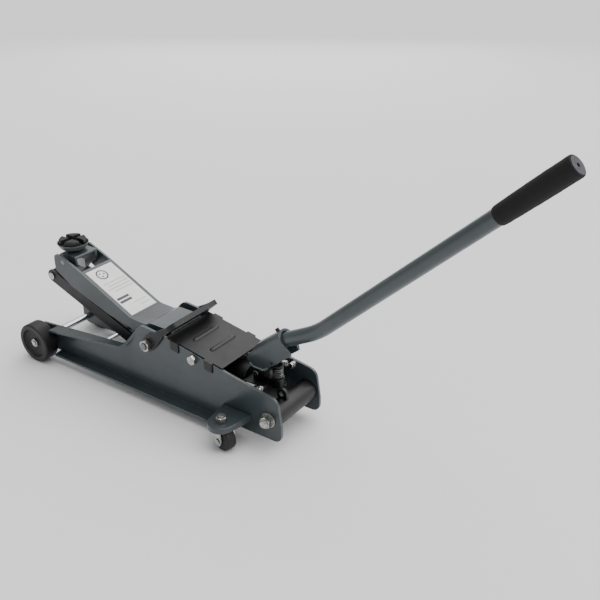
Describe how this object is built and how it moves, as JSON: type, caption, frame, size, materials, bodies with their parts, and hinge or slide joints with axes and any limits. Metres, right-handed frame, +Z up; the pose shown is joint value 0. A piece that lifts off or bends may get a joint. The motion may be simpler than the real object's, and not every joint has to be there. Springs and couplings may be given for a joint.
{
  "type": "hydraulic trolley jack",
  "caption": "Low hydraulic trolley car jack with a bent pump handle, half-raised lifting arm, front wheels and rear casters.",
  "frame": {"origin": "middle of the bounding box, on the floor", "axes": "+X forwards to the saddle, +Y to the left side, +Z up"},
  "size_m": [0.9852, 0.242, 0.5454],
  "materials": {
    "slate_paint": "hammered satin enamel, blue grey",
    "black_paint": "satin black enamel",
    "black_plastic": "moulded polymer wheel, matte",
    "rubber": "moulded rubber",
    "zinc": "zinc plated",
    "chrome": "hard chrome",
    "steel": "plain turned steel, oiled",
    "foam": "closed cell foam sleeve"
  },
  "bodies": {
    "frame": {"arm_spacer_left": "steel", "arm_spacer_right": "steel", "axle_nut_left": "zinc", "axle_nut_right": "zinc", "carry_handle": "black_paint", "caster_bracket_left": "slate_paint", "caster_bracket_right": "slate_paint", "cover_bolt_left": "zinc", "cover_bolt_right": "zinc", "cover_plate": "black_paint", "front_axle": "chrome", "handle_pivot_pin": "zinc", "hydraulic_cylinder": "black_paint", "link_anchor_shaft": "steel", "main_pivot_nut_left": "zinc", "main_pivot_nut_right": "zinc", "main_pivot_shaft": "steel", "pump_block": "black_paint", "rear_bolt_left": "zinc", "rear_bolt_right": "zinc", "rear_cross_tube": "black_paint", "return_spring_left": "zinc", "return_spring_right": "zinc", "side_plate_left": "slate_paint", "side_plate_right": "slate_paint", "spring_stud_left": "zinc", "spring_stud_right": "zinc", "tie_rod": "chrome", "tube_eye": "black_paint"},
    "lift_arm": {"lift_arm": "slate_paint", "carrier_pin": "steel", "ram_pin": "steel"},
    "links": {"link_bar_left": "black_paint", "link_bar_right": "black_paint", "link_pin": "zinc"},
    "carrier": {"saddle_carrier": "slate_paint"},
    "saddle": {"saddle_cup": "slate_paint", "saddle_pad": "rubber"},
    "ram": {"ram": "chrome", "ram_crosshead": "steel"},
    "handle": {"handle_socket": "slate_paint", "handle_yoke": "black_paint", "handle_tube": "slate_paint", "handle_grip": "foam", "set_screw": "black_paint", "pump_roller": "black_paint"},
    "plunger": {"pump_plunger": "black_paint", "pump_spring": "steel"},
    "valve": {"release_valve": "zinc"},
    "front_wheel_left": {"front_wheel_left": "black_plastic"},
    "front_wheel_right": {"front_wheel_right": "black_plastic"},
    "caster_left": {"caster_fork_left": "zinc", "caster_nut_left": "zinc", "caster_pin_left": "zinc"},
    "caster_right": {"caster_fork_right": "zinc", "caster_nut_right": "zinc", "caster_pin_right": "zinc"},
    "caster_wheel_left": {"caster_wheel_left": "rubber"},
    "caster_wheel_right": {"caster_wheel_right": "rubber"}
  },
  "joints": [
    {"name": "arm_lift", "type": "hinge", "parent": "frame", "child": "lift_arm", "pos_m": [0.17961, 0, 0.111], "axis": [0, -1, 0], "range_deg": [-24, 28]},
    {"name": "link_lift", "type": "hinge", "parent": "frame", "child": "links", "pos_m": [0.21861, 0, 0.073], "axis": [0, -1, 0], "range_deg": [-24, 28]},
    {"name": "carrier_level", "type": "hinge", "parent": "lift_arm", "child": "carrier", "pos_m": [0.40861, 0, 0.197], "axis": [0, -1, 0], "range_deg": [-28, 24]},
    {"name": "saddle_turn", "type": "hinge", "parent": "carrier", "child": "saddle", "pos_m": [0.41761, 0, 0.213], "axis": [0, 0, 1], "continuous": true},
    {"name": "ram_slide", "type": "slide", "parent": "frame", "child": "ram", "axis": [1, 0, 0], "range_m": [-0.0156, 0.0182]},
    {"name": "handle_pump", "type": "hinge", "parent": "frame", "child": "handle", "pos_m": [-0.01939, 0, 0.1], "axis": [0, 1, 0], "range_deg": [-22, 12]},
    {"name": "plunger_slide", "type": "slide", "parent": "frame", "child": "plunger", "axis": [0, 0, 1], "range_m": [-0.0135, 0.0073], "deforming": ["pump_spring"]},
    {"name": "release_valve_turn", "type": "hinge", "parent": "frame", "child": "valve", "pos_m": [-0.04339, -0.0156, 0.073], "axis": [1, 0, 0], "range_deg": [0, 180]},
    {"name": "front_wheel_left_roll", "type": "hinge", "parent": "frame", "child": "front_wheel_left", "pos_m": [0.45461, 0.066, 0.038], "axis": [0, 1, 0], "continuous": true},
    {"name": "caster_left_swivel", "type": "hinge", "parent": "frame", "child": "caster_left", "pos_m": [-0.01139, 0.098, 0.049], "axis": [0, 0, 1], "continuous": true},
    {"name": "caster_left_roll", "type": "hinge", "parent": "caster_left", "child": "caster_wheel_left", "pos_m": [-0.01823, 0.09946, 0.02], "axis": [0.2079, 0.9781, 0], "continuous": true},
    {"name": "front_wheel_right_roll", "type": "hinge", "parent": "frame", "child": "front_wheel_right", "pos_m": [0.45461, -0.066, 0.038], "axis": [0, 1, 0], "continuous": true},
    {"name": "caster_right_swivel", "type": "hinge", "parent": "frame", "child": "caster_right", "pos_m": [-0.01139, -0.098, 0.049], "axis": [0, 0, 1], "continuous": true},
    {"name": "caster_right_roll", "type": "hinge", "parent": "caster_right", "child": "caster_wheel_right", "pos_m": [-0.01823, -0.09946, 0.02], "axis": [0.2079, -0.9781, 0], "continuous": true}
  ],
  "couplings": [
    {"joint": "link_lift", "follows": "arm_lift", "ratio": 1},
    {"joint": "carrier_level", "follows": "arm_lift", "ratio": -1},
    {"joint": "ram_slide", "follows": "arm_lift", "m_per_rad": 0.036252},
    {"joint": "plunger_slide", "follows": "handle_pump", "m_per_rad": 0.034}
  ]
}
